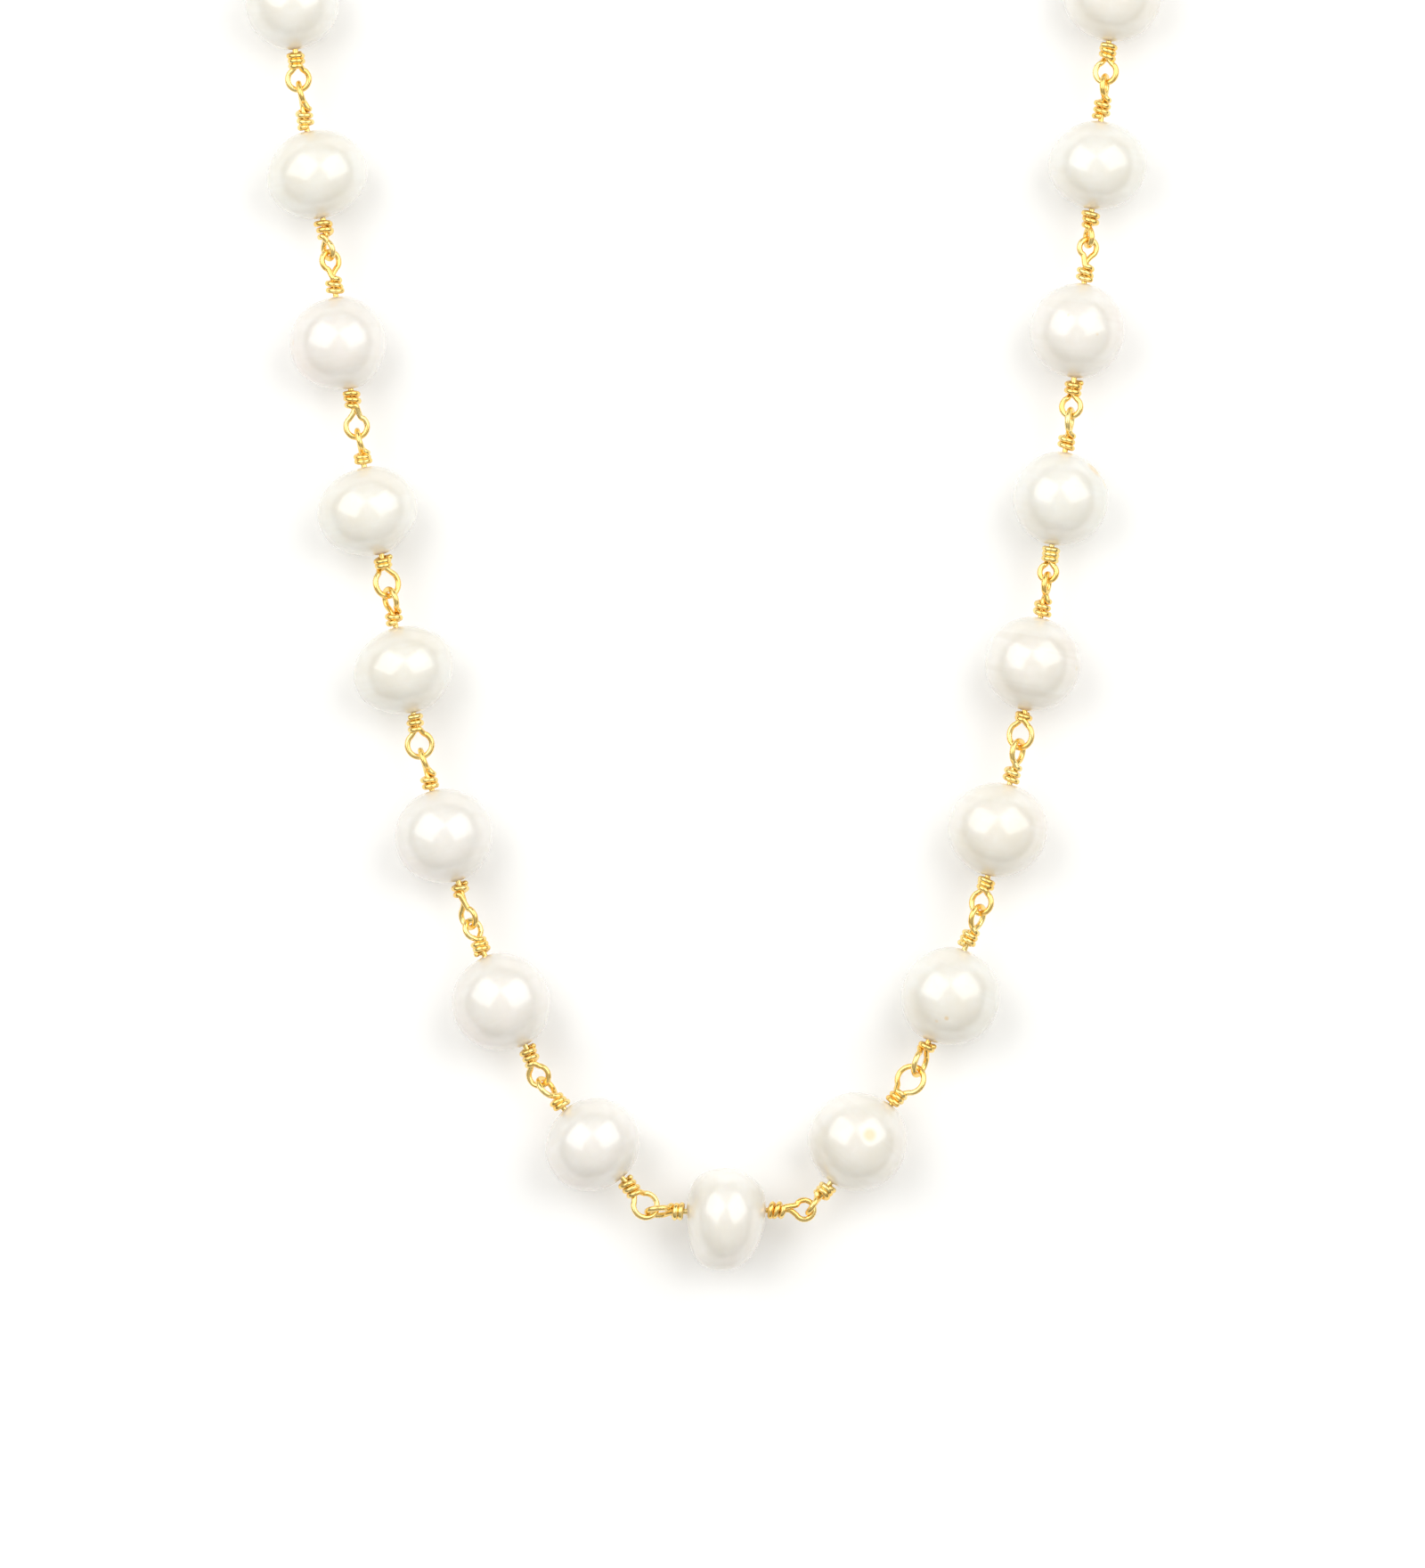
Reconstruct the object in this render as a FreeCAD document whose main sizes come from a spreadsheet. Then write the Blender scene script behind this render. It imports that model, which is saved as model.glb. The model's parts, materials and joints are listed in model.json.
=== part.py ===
"""A single-strand pearl necklace: pearls on hand-wrapped wire links, with a lobster claw and a closing ring.

The necklace lies flat on a surface, undone at the clasp. X runs to the wearer's left, Y up the chest
and Z up from the surface. The origin is under the middle of the whole, on the surface. Millimetres.
"""
import FreeCAD, Part

import math
import os

Vector = FreeCAD.Vector
Rotation = FreeCAD.Rotation
Placement = FreeCAD.Placement
ALONG = Vector(1, 0, 0)
ACROSS = Vector(0, 1, 0)
UP = Vector(0, 0, 1)
TO_X = Rotation(UP, ALONG)  # turns a primitive's own axis, +Z, to lie along the link

# Driving dimensions, each an alias in the sheet.
SIZES = {
    "wire_dia": 0.57,  # 23 gauge round wire
    "core_dia": 0.52,  # the straight run is drawn down a little, so that it meets its loops cleanly
    "hole_dia": 0.75,  # drilled through each pearl
    "wrap_radius": 0.57,  # centre line of a wrap, wound tight on the core
    "pearl_height": 9.2,  # every pearl stands this high, so that all touch the surface
    "wrap_gap": 0.07,  # from a pearl to the first wrap, so that the pearl can turn
    "loop_gap": 0.08,  # between two loops that hook through each other
    "jump_ring_radius": 2.5,
    "jump_ring_dia": 0.7,
    "end_ring_radius": 3.0,
    "end_ring_dia": 0.8,
    "claw_radius": 2.3,  # centre line of the claw's curved arm
    "claw_dia": 1.5,
    "knob_radius": 2.05,  # the claw's thick end
    "knob_thick": 2.2,
    "tail_radius": 1.15,  # the eye that the jump ring goes through
    "tail_dia": 0.7,
    "slot_width": 1.5,  # holds the lever and its spring
    "lever_thick": 0.7,
    "lever_hub": 0.8,
    "lever_hole_dia": 0.8,
    "pin_dia": 0.7,
    "spring_radius": 0.56,
    "spring_wire_dia": 0.16,
    "spring_spacing": 0.15,
    "grip_radius": 0.55,  # the lever's thumb knob
}

# One row a link, from the clasp's end round to the closing ring's: heading in degrees, pitch from one
# joining point to the next, the pearl's length and width, and its shift along and across the wire.
LINKS = (
    (-144.0, 16.2, 8.9, 9.3, 0.1, 0.0),
    (-124.0, 16.1, 9.0, 9.2, -0.2, 0.2),
    (-104.0, 16.3, 8.7, 9.4, 0.0, -0.1),
    (-90.0, 16.0, 8.9, 9.3, 0.2, 0.1),
    (-84.0, 16.2, 8.8, 9.1, -0.1, 0.0),
    (-83.8, 16.2, 9.0, 8.9, 0.1, 0.2),
    (-79.8, 16.3, 8.5, 9.6, 0.4, 0.2),
    (-81.0, 17.2, 9.0, 9.2, -0.2, -0.5),
    (-78.9, 15.4, 8.6, 9.6, -0.3, -0.5),
    (-78.6, 15.6, 8.4, 9.6, -0.3, -0.1),
    (-74.0, 16.9, 9.0, 9.4, -0.3, -0.1),
    (-65.8, 16.5, 9.4, 9.4, -0.3, -0.4),
    (-50.3, 16.2, 8.6, 9.3, -0.4, -0.1),
    (0.8, 15.3, 7.6, 9.8, -0.4, -0.8),
    (52.6, 16.7, 9.4, 9.5, -0.4, 0.4),
    (68.8, 16.5, 9.4, 9.4, -0.4, -0.4),
    (76.7, 16.2, 9.0, 9.5, -0.3, 0.1),
    (80.4, 16.1, 9.0, 9.1, -0.3, 0.0),
    (82.0, 15.8, 9.0, 9.1, -0.3, -0.2),
    (84.0, 16.3, 9.1, 9.0, -0.3, 0.2),
    (84.2, 15.6, 8.5, 9.4, -0.4, -0.1),
    (84.3, 16.2, 9.0, 9.4, 0.0, 0.1),
    (86.0, 16.2, 8.8, 9.2, 0.1, -0.1),
    (91.0, 16.1, 9.0, 9.3, 0.0, 0.1),
    (105.0, 16.3, 8.9, 9.1, -0.1, 0.0),
    (124.0, 16.0, 8.7, 9.2, 0.1, -0.2),
    (143.0, 16.2, 8.9, 9.3, 0.0, 0.1),
)

# One row a joining point between two links: the outer width of the loop before it and of the loop
# after it, and how far in degrees the loop before it is turned about its wire. The loop after it is
# turned a quarter turn further, as links of a chain are. The first and last rows are the two ends.
JOINS = (
    (2.6, 2.9, -90.0),
    (2.6, 2.5, 10.0),
    (2.6, 2.6, 80.0),
    (2.5, 2.6, -15.0),
    (2.6, 2.5, 70.0),
    (2.7, 2.5, 5.0),
    (2.6, 2.6, 0.0),
    (2.3, 2.4, 60.0),
    (2.6, 2.6, 0.0),
    (3.0, 2.6, -30.0),
    (2.9, 2.6, 0.0),
    (2.6, 2.4, 50.0),
    (2.6, 2.7, 25.0),
    (2.9, 2.7, -19.0),
    (2.4, 2.4, 0.0),
    (3.2, 2.9, -25.0),
    (2.8, 2.7, 60.0),
    (2.8, 3.0, 62.0),
    (2.6, 2.2, 75.0),
    (2.8, 2.4, 78.0),
    (2.3, 2.3, 20.0),
    (2.6, 2.6, 76.0),
    (2.6, 2.5, 6.0),
    (2.5, 2.6, 65.0),
    (2.6, 2.6, -10.0),
    (2.6, 2.5, 80.0),
    (2.5, 2.6, 15.0),
    (2.6, 2.6, 90.0),
)

LOOP_ROOM = 0.7  # the wraps stop this many wires short of the core's end, clear of the loop
CLASP_HEADING = 30.0  # the undone claw points this way from the first link, in degrees
RING_SLOPE = 65.0  # the jump ring leans down from the first link's loop to the claw
TAIL_SLOPE = 60.0  # where on the jump ring the claw's eye hangs
END_RING_SLOPE = 40.0  # the closing ring leans down to the surface
HOOK_ARC = (-60.0, 150.0)  # the arm's fixed part, in degrees round the claw's opening
LEVER_ARC = (-108.0, -40.0)  # the part that opens
PIVOT_ANGLE = -150.0  # where on the arm's circle the lever turns
LEVER_REACH = 3.45  # from the pivot to the lever's tip
TIP_GAP = 0.12  # between the lever's tip and the hook's
NOTCH_CORNER = Vector(0.4, -0.1, 0)  # the hook is only notched beyond this corner, on its lower side
KNOB_OFFSET = 2.9  # from the opening's centre back to the knob's centre
SLOT_LENGTH = 4.2
SLOT_DEPTH = 3.4
SLOT_CORNER = Vector(-0.9, -2.4, 0)  # the slot's lower corner, from the pivot
WEB_LENGTH = 2.6
WEB_WIDTH = 0.9
WEB_SLOPE = -38.0  # the lever's flat web runs down from the hub to its arm, in degrees
GRIP_CENTRE = Vector(-0.2, -3.05, 0)

doc = FreeCAD.newDocument("pearl_necklace")
sheet = doc.addObject("Spreadsheet::Sheet", "Sizes")
subparts = []


def fill_sheet():
    """Puts every driving dimension in a cell with an alias."""
    values = dict(SIZES)
    for number, (_, _, length, width, _, _) in enumerate(LINKS, 1):
        values[f"length_{number:02d}"] = length
        values[f"width_{number:02d}"] = width
    for number, (before, after, _) in enumerate(JOINS):
        values[f"loop_before_{number:02d}"] = before
        values[f"loop_after_{number:02d}"] = after
    for row, (alias, value) in enumerate(values.items(), 1):
        sheet.set(f"A{row}", alias)
        sheet.set(f"B{row}", str(value))
        sheet.setAlias(f"B{row}", alias)
    doc.recompute()


def size(alias):
    return float(sheet.get(alias))


def heading_vector(degrees):
    return Vector(math.cos(math.radians(degrees)), math.sin(math.radians(degrees)), 0)


def primitive(kind, name, placement, **sizes):
    """A Part primitive with each size bound to the sheet by an expression."""
    piece = doc.addObject(f"Part::{kind}", name)
    for key, expression in sizes.items():
        piece.setExpression(key, expression)
    piece.Placement = placement
    return piece


def boolean(kind, name, base, tool):
    piece = doc.addObject(f"Part::{kind}", name)
    piece.Base = base
    piece.Tool = tool
    return piece


def fused(name, pieces):
    whole = doc.addObject("Part::MultiFuse", name)
    whole.Shapes = pieces
    whole.Refine = False
    return whole


def sub_part(piece, label, placement=Placement()):
    """Names a finished piece and puts it in its place."""
    piece.Label = label
    piece.Placement = placement
    subparts.append(piece)
    return piece


class Link:
    """Where one link's wire runs: its two tip centres and the frame between them."""

    def __init__(self, number, start, end):
        self.number = number
        self.start = start
        self.end = end
        self.reach = (end - start).Length / 2
        self.direction = (end - start).normalize()
        self.heading = math.degrees(math.atan2(self.direction.y, self.direction.x))
        self.placement = Placement((start + end) / 2, Rotation(UP, self.heading))


def joining_points():
    """The points where the loops of two links meet, with the strand's two free ends."""
    points = [Vector(0, 0, size("pearl_height") / 2)]
    for heading, pitch, *_ in LINKS:
        points.append(points[-1] + heading_vector(heading) * pitch)
    middle = Vector(
        (min(p.x for p in points) + max(p.x for p in points)) / 2,
        (min(p.y for p in points) + max(p.y for p in points)) / 2,
        0,
    )
    return [p - middle for p in points]


def lay_out_links():
    """Each loop's tip reaches past the joining point by half a wire and half the play."""
    points = joining_points()
    headings = [heading_vector(heading) for heading, *_ in LINKS]
    reach = (size("wire_dia") + size("loop_gap")) / 2
    links = []
    for index in range(len(LINKS)):
        back = headings[max(index - 1, 0)] + headings[index]
        ahead = headings[index] + headings[min(index + 1, len(LINKS) - 1)]
        start = points[index] - back.normalize() * reach
        end = points[index + 1] + ahead.normalize() * reach
        links.append(Link(index + 1, start, end))
    return links


def make_pearl(link):
    """A near-round pearl, a little longer one way than another, drilled through along its link."""
    _, _, _, _, along, across = LINKS[link.number - 1]
    tag = f"{link.number:02d}"
    seam_aside = Rotation(UP, 90)  # the surface's own seam is kept away from the hole
    body = primitive(
        "Ellipsoid", f"nacre_{tag}", Placement(Vector(along, across, 0), seam_aside),
        Radius1="Sizes.pearl_height / 2", Radius2=f"Sizes.width_{tag} / 2",
        Radius3=f"Sizes.length_{tag} / 2",
    )
    bore = primitive(
        "Cylinder", f"bore_{tag}", Placement(ALONG * -link.reach, TO_X),
        Radius="Sizes.hole_dia / 2",
    )
    bore.Height = 2 * link.reach
    sub_part(boolean("Cut", f"drilled_{tag}", body, bore), f"pearl_{tag}", link.placement)


def make_loop(link, side, width_alias, roll):
    """The round loop at one tip of a link. Returns it and how far out the straight core must reach."""
    radius = (size(width_alias) - size("wire_dia")) / 2
    centre = ALONG * side * (link.reach - radius)
    seam_aside = Rotation(UP, 60)  # the ring's own seam is kept away from the core
    loop = primitive(
        "Torus", f"loop_{link.number:02d}_{'end' if side > 0 else 'start'}",
        Placement(centre, Rotation(ALONG, roll) * seam_aside),
        Radius1=f"(Sizes.{width_alias} - Sizes.wire_dia) / 2", Radius2="Sizes.wire_dia / 2",
    )
    bite = size("wire_dia") / 8  # the core's end is just past the middle of the loop's wire
    return loop, link.reach - 2 * radius + bite


def wrap_edges(first, count, side):
    """The outline of close-wound wraps: a step up from the core, a half round each and a step down."""
    wire = size("wire_dia")
    low, high = size("core_dia") / 2, size("wrap_radius")
    starts = [side * (first + turn * wire) for turn in range(count + 1)]
    edges = [Part.makeLine(Vector(starts[0], low, 0), Vector(starts[0], high, 0))]
    for here, there in zip(starts, starts[1:]):
        crest = Vector((here + there) / 2, high + wire / 2, 0)
        edges.append(Part.Arc(Vector(here, high, 0), crest, Vector(there, high, 0)).toShape())
    edges.append(Part.makeLine(Vector(starts[-1], high, 0), Vector(starts[-1], low, 0)))
    return edges, starts[0], starts[-1]


def core_outline(link, back, ahead):
    """Half the lengthwise section of the core and its wraps, from the link's axis outwards."""
    wire, core = size("wire_dia"), size("core_dia") / 2
    edges, run_start = [], None
    for side, core_end in ((-1, back), (1, ahead)):
        shift = side * LINKS[link.number - 1][4]
        first = size(f"length_{link.number:02d}") / 2 + shift + size("wrap_gap")
        count = max(1, int((core_end - first) / wire - LOOP_ROOM))
        wraps, inner, outer = wrap_edges(first, count, side)
        edges += wraps
        tip = Vector(side * core_end, core, 0)
        edges.append(Part.makeLine(Vector(outer, core, 0), tip))
        edges.append(Part.makeLine(tip, Vector(side * core_end, 0, 0)))
        if run_start is None:
            run_start = inner
        else:
            edges.append(Part.makeLine(Vector(run_start, core, 0), Vector(inner, core, 0)))
    edges.append(Part.makeLine(Vector(-back, 0, 0), Vector(ahead, 0, 0)))
    return Part.Face(Part.Wire(Part.__sortEdges__(edges)))


def make_link_wire(link):
    """A straight core through the pearl, wrapped at both sides, with a loop at each tip."""
    before, after = JOINS[link.number - 1], JOINS[link.number]
    tag = f"{link.number:02d}"
    first, back = make_loop(link, -1, f"loop_after_{link.number - 1:02d}", before[2] + 90)
    last, ahead = make_loop(link, 1, f"loop_before_{link.number:02d}", after[2])
    outline = doc.addObject("Part::Feature", f"core_outline_{tag}")
    outline.Shape = core_outline(link, back, ahead)
    core = doc.addObject("Part::Revolution", f"core_{tag}")
    core.Source = outline
    core.Axis = ALONG
    core.Angle = 360
    core.Solid = True
    sub_part(fused(f"wire_{tag}", [core, first, last]), f"link_wire_{tag}", link.placement)


def leaning(away, slope):
    """The direction that points away and down at a slope in degrees."""
    return away * math.cos(math.radians(slope)) - UP * math.sin(math.radians(slope))


def make_clasp_ring(link):
    """The jump ring, upright in the plane that the claw and the strand's first link share."""
    away = heading_vector(CLASP_HEADING)
    from_tip = (size("wire_dia") + size("jump_ring_dia")) / 2 + size("loop_gap")
    centre = link.start + leaning(away, RING_SLOPE) * (size("jump_ring_radius") - from_tip)
    upright = Rotation(UP, away.cross(UP))
    ring = primitive(
        "Torus", "jump_ring", Placement(),
        Radius1="Sizes.jump_ring_radius", Radius2="Sizes.jump_ring_dia / 2",
    )
    sub_part(ring, "clasp_ring", Placement(centre, upright))
    reach = size("jump_ring_radius") - (size("jump_ring_dia") + size("tail_dia")) / 2 - size("loop_gap")
    return centre + leaning(away, TAIL_SLOPE) * reach


def make_end_ring(link):
    """The closing ring, hooked through the last loop and leaning down to the surface.

    Returns the loop's centre, which the ring slides round.
    """
    loop_radius = (size(f"loop_before_{link.number:02d}") - size("wire_dia")) / 2
    middle = link.end - link.direction * loop_radius
    play = loop_radius - (size("wire_dia") + size("end_ring_dia")) / 2 - size("loop_gap")
    centre = middle + leaning(link.direction, END_RING_SLOPE) * (size("end_ring_radius") + play)
    slope = math.radians(END_RING_SLOPE)
    normal = link.direction * math.sin(slope) + UP * math.cos(slope)
    ring = primitive(
        "Torus", "closing_ring", Placement(),
        Radius1="Sizes.end_ring_radius", Radius2="Sizes.end_ring_dia / 2",
    )
    sub_part(ring, "end_ring", Placement(centre, Rotation(UP, normal)))
    return middle


def arc_of_wire(name, arc):
    """Part of the claw's round arm, between two angles round the opening at the origin."""
    start, stop = arc
    piece = primitive(
        "Torus", name, Placement(Vector(), Rotation(UP, start)),
        Radius1="Sizes.claw_radius", Radius2="Sizes.claw_dia / 2",
    )
    piece.Angle3 = stop - start
    return piece


def round_plate(name, x, y, radius, thick, low):
    """A disc whose axis is Z, from the height low upwards, its sizes given as expressions."""
    piece = primitive("Cylinder", name, Placement(Vector(x, y, low), Rotation()), Radius=radius)
    piece.setExpression("Height", thick)
    return piece


def lever_pivot():
    """The lever's pin stands where the arm would run into the knob."""
    angle = math.radians(PIVOT_ANGLE)
    return Vector(math.cos(angle), math.sin(angle), 0) * size("claw_radius")


def make_clasp_body(placement):
    """The claw: a round arm, the thick knob it grows from and the eye behind it."""
    pivot = lever_pivot()
    arm = arc_of_wire("arm", HOOK_ARC)
    knob = round_plate(
        "knob", -KNOB_OFFSET, 0, "Sizes.knob_radius", "Sizes.knob_thick", -size("knob_thick") / 2)
    eye = primitive(
        "Torus", "tail_eye", Placement(ALONG * tail_centre(), Rotation()),
        Radius1="Sizes.tail_radius", Radius2="Sizes.tail_dia / 2",
    )
    solid = fused("claw_solid", [arm, knob, eye])
    slot = doc.addObject("Part::Box", "lever_slot")
    slot.setExpression("Height", "Sizes.slot_width")
    slot.Length = SLOT_LENGTH
    slot.Width = SLOT_DEPTH
    slot.Placement = Placement(pivot + SLOT_CORNER - UP * size("slot_width") / 2, Rotation())
    hole = round_plate(
        "pin_hole", pivot.x, pivot.y, "Sizes.pin_dia / 2", "Sizes.knob_thick + 2", -size("knob_thick"))
    slotted = boolean("Cut", "claw_slotted", solid, fused("claw_cuts", [slot, hole]))
    claw = boolean("Cut", "claw_notched", slotted, make_tip_notch(pivot))
    sub_part(claw, "clasp_body", placement)


def make_tip_notch(pivot):
    """The space that the lever's tip sweeps through, just inside the hook's tip."""
    sweep = round_plate(
        "tip_sweep", pivot.x, pivot.y, f"{LEVER_REACH + TIP_GAP} mm", "Sizes.knob_thick",
        -size("knob_thick") / 2)
    side = doc.addObject("Part::Box", "tip_side")
    side.Length = 2 * LEVER_REACH
    side.Width = 2 * LEVER_REACH
    side.setExpression("Height", "Sizes.knob_thick + 2")
    drop = Vector(0, -2 * LEVER_REACH, -size("knob_thick"))
    side.Placement = Placement(NOTCH_CORNER + drop, Rotation())
    return boolean("Common", "tip_notch", sweep, side)


def tail_centre():
    """The tail eye's centre: its wire runs into the knob's back."""
    return -KNOB_OFFSET - size("knob_radius") - size("tail_radius") + 0.2


def lever_low():
    """The underside of the lever's flat part, just clear of the slot's floor."""
    return -size("slot_width") / 2 + 0.1


def make_clasp_lever(placement):
    """The lever: the arm's moving part, a flat hub on the pin and a round grip."""
    pivot = lever_pivot()
    low = lever_low()
    arm = arc_of_wire("lever_arm", LEVER_ARC)
    reach = round_plate(
        "lever_reach", pivot.x, pivot.y, f"{LEVER_REACH} mm", "Sizes.knob_thick",
        -size("knob_thick") / 2)
    arm = boolean("Common", "lever_arm_end", arm, reach)
    hub = round_plate("lever_hub_plate", pivot.x, pivot.y, "Sizes.lever_hub", "Sizes.lever_thick", low)
    web = doc.addObject("Part::Box", "lever_web")
    web.Length = WEB_LENGTH
    web.Width = WEB_WIDTH
    web.setExpression("Height", "Sizes.lever_thick")
    web.Placement = Placement(pivot + Vector(0, -WEB_WIDTH / 2, low), Rotation(UP, WEB_SLOPE))
    grip = primitive(
        "Sphere", "lever_grip", Placement(GRIP_CENTRE, Rotation(ALONG, 30)), Radius="Sizes.grip_radius")
    hole = round_plate(
        "lever_hole", pivot.x, pivot.y, "Sizes.lever_hole_dia / 2", "Sizes.knob_thick",
        -size("knob_thick") / 2)
    lever = boolean("Cut", "lever_drilled", fused("lever_solid", [arm, hub, web, grip]), hole)
    sub_part(lever, "clasp_lever", placement)


def make_clasp_pin(placement):
    """The pin that the lever turns on, pressed through the knob and flush with its faces."""
    pivot = lever_pivot()
    pin = round_plate(
        "lever_pin", pivot.x, pivot.y, "Sizes.pin_dia / 2", "Sizes.knob_thick", -size("knob_thick") / 2)
    sub_part(pin, "clasp_pin", placement.multiply(pin.Placement))


def make_clasp_spring(placement):
    """The lever's closing spring: close turns of fine wire round the pin, beside the lever's hub."""
    pivot = lever_pivot()
    low = lever_low() + size("lever_thick") + 0.2
    turns = []
    for turn in range(3):
        place = Placement(pivot + UP * (low + turn * size("spring_spacing")), Rotation())
        turns.append(primitive(
            "Torus", f"spring_turn_{turn + 1}", place,
            Radius1="Sizes.spring_radius", Radius2="Sizes.spring_wire_dia / 2",
        ))
    sub_part(fused("spring", turns), "clasp_spring", placement)


def make_clasp(link):
    """The jump ring, with the undone claw lying flat beyond it. Returns the claw's hang and place."""
    hang = make_clasp_ring(link)
    away = heading_vector(CLASP_HEADING)
    tail_to_hang = tail_centre() - size("tail_radius")
    middle = hang - away * tail_to_hang
    placement = Placement(middle, Rotation(UP, CLASP_HEADING))
    make_clasp_body(placement)
    make_clasp_lever(placement)
    make_clasp_pin(placement)
    make_clasp_spring(placement)
    return hang, placement


def stand_on_origin():
    """Moves the whole so that the origin is under its middle. The pearls already touch the surface.

    The wires never reach its sides, so only the pearls and the clasp are measured.
    """
    box = FreeCAD.BoundBox()
    for piece in subparts:
        if not piece.Label.startswith("link_wire"):
            box.add(piece.Shape.optimalBoundingBox())
    shift = Vector(-box.Center.x, -box.Center.y, 0)
    for piece in subparts:
        piece.Placement = Placement(piece.Placement.Base + shift, piece.Placement.Rotation)
    return shift


def check_everything():
    """Stops on any failed object or bad shape, before anything is written."""
    for item in doc.Objects:
        bad = {"Invalid", "Error"} & set(item.State)
        if bad:
            raise RuntimeError(f"{item.Name} is {bad}")
        if item.Name.startswith("wire_"):
            whole = sum(piece.Shape.Volume for piece in item.Shapes)
            if item.Shape.Volume < 0.95 * whole:
                raise RuntimeError(f"{item.Label} has lost a loop")
    for piece in subparts:
        shape = piece.Shape
        if shape.isNull() or not shape.isValid() or len(shape.Solids) != 1:
            raise RuntimeError(f"{piece.Label} has no single valid solid")


def write_steps():
    os.makedirs("parts", exist_ok=True)
    for piece in subparts:
        piece.Shape.exportStep(f"parts/{piece.Label}.step")


fill_sheet()
links = lay_out_links()
for one_link in links:
    make_pearl(one_link)
    make_link_wire(one_link)
claw_hang, claw_placement = make_clasp(links[0])
end_ring_hang = make_end_ring(links[-1])
doc.recompute()
origin_shift = stand_on_origin()
doc.recompute()
check_everything()
write_steps()
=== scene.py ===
"""A pearl necklace on hand-wrapped gold wire links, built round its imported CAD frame. Lengths in metres."""

import json
import math
import random

import bpy
import numpy as np
from mathutils import Matrix, Vector, noise

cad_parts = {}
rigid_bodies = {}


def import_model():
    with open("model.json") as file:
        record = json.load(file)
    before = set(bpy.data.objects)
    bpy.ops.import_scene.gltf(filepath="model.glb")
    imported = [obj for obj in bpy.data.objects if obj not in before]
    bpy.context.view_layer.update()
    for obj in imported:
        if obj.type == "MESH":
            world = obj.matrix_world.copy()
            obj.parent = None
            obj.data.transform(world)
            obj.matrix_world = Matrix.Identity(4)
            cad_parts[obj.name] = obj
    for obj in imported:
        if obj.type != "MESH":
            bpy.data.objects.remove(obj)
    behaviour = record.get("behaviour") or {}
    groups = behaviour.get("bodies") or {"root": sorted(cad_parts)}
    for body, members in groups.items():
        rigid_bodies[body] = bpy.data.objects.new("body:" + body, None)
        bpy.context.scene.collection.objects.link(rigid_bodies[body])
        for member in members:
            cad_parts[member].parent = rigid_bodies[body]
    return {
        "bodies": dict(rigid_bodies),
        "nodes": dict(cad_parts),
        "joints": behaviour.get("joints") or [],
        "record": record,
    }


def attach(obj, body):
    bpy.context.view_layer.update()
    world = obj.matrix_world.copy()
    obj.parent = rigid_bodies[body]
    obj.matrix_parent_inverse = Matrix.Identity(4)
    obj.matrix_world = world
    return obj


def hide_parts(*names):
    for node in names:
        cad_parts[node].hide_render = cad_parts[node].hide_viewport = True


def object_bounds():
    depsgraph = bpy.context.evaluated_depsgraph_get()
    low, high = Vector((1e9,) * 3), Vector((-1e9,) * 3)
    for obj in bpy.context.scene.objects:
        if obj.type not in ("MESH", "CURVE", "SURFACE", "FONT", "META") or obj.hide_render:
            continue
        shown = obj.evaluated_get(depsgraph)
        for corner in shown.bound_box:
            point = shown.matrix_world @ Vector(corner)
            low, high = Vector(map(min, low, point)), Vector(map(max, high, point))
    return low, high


MM = 0.001
UP = Vector((0, 0, 1))
WIRE_RADIUS = 0.285 * MM
WIRE_DIA = 2 * WIRE_RADIUS
HOLE_RADIUS = 0.375 * MM
PEARL_RINGS = 96
PEARL_SIDES = 128
TUBE_SIDES = 14
TUBE_STEP = 0.1 * MM
CENTRE_LINK = 14
CURVE_STEPS = 12  # points of a smooth curve between two of its control points

# Pearls
FLATNESS = 0.985  # a pearl's height, as a share of its CAD height
RING_HEIGHT = 0.0012  # of growth rings at full strength, as a share of the pearl's radius
RING_FREQUENCY = 26  # radians of growth rings from a pearl's middle to its end
HOLE_CALM = 5  # the unevenness comes in over this many hole radii from the hole's rim
HOLE_SHARE = 0.35  # of a swelling's height, which is all that it has at the hole
SHIFT_POWER = 6  # a pearl's shift across its wire fades out towards the hole with this power
HOLE_FADE = 1.5 * MM  # the stretch to the CAD width comes in over this distance from the hole
BOX_MARGIN = 1.002  # how much further in than needed a surface is drawn where it leaves the CAD box
RIM_STEPS = ((0.05, 0.98), (0.15, 0.96), (1.6, 0.96))  # depth in the hole in mm, share of the rim's width
MARK_RADIUS = 4.6 * MM  # a pearl's radius, for turning a mark's spread into a length
MARK_CORE = 0.35  # of a mark's size, over which it has its full strength
STAIN_START = 0.45 * MM  # from the hole's axis
STAIN_END = 1.5 * MM
STAIN_STRENGTH = 0.55

# Link wires
WIRE_SHARE = 0.96  # of the CAD wire's radius
WIRE_UNEVENNESS = 0.02  # as a share of its radius
LOOP_ZONE = 1.5 * MM  # the CAD wire has only its loop this far in from its tip's centre line
LOOP_OPENING = math.radians(150)
LOOP_POINTS = 17
NECK = 1.2  # from a loop's centre back to its neck, in loop radii
CORE_POINTS = 8
CORE_START = 0.5 * MM  # from the link's middle
CORE_END = 0.3 * MM  # short of the neck
LIFT = 0.35  # how far the end of a loop climbs over its neck, in wire thicknesses
LIFT_START = 0.3  # where it starts to climb, as a share of the way from the loop's tip to its end
BEND = 0.006  # how far a loop is bent out of round, as a share of its radius
PEARL_GAP = 0.12 * MM  # from the pearl to the first wrap
TURN_STEPS = 12
WRAP_START = 60  # degrees round the core
WRAP_REACH = 1.01  # from the core's centre line to a wrap's, in wire thicknesses
WRAP_PITCH = 1.12  # at most, in wire thicknesses
WRAP_SLANT = 0.12 * MM  # at most, along the core
LAST_TURN = 0.25  # the part of the turns that takes up none of the core's length
EXTRA_TURNS = 0.75  # at most, over what fits side by side on the core
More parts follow.
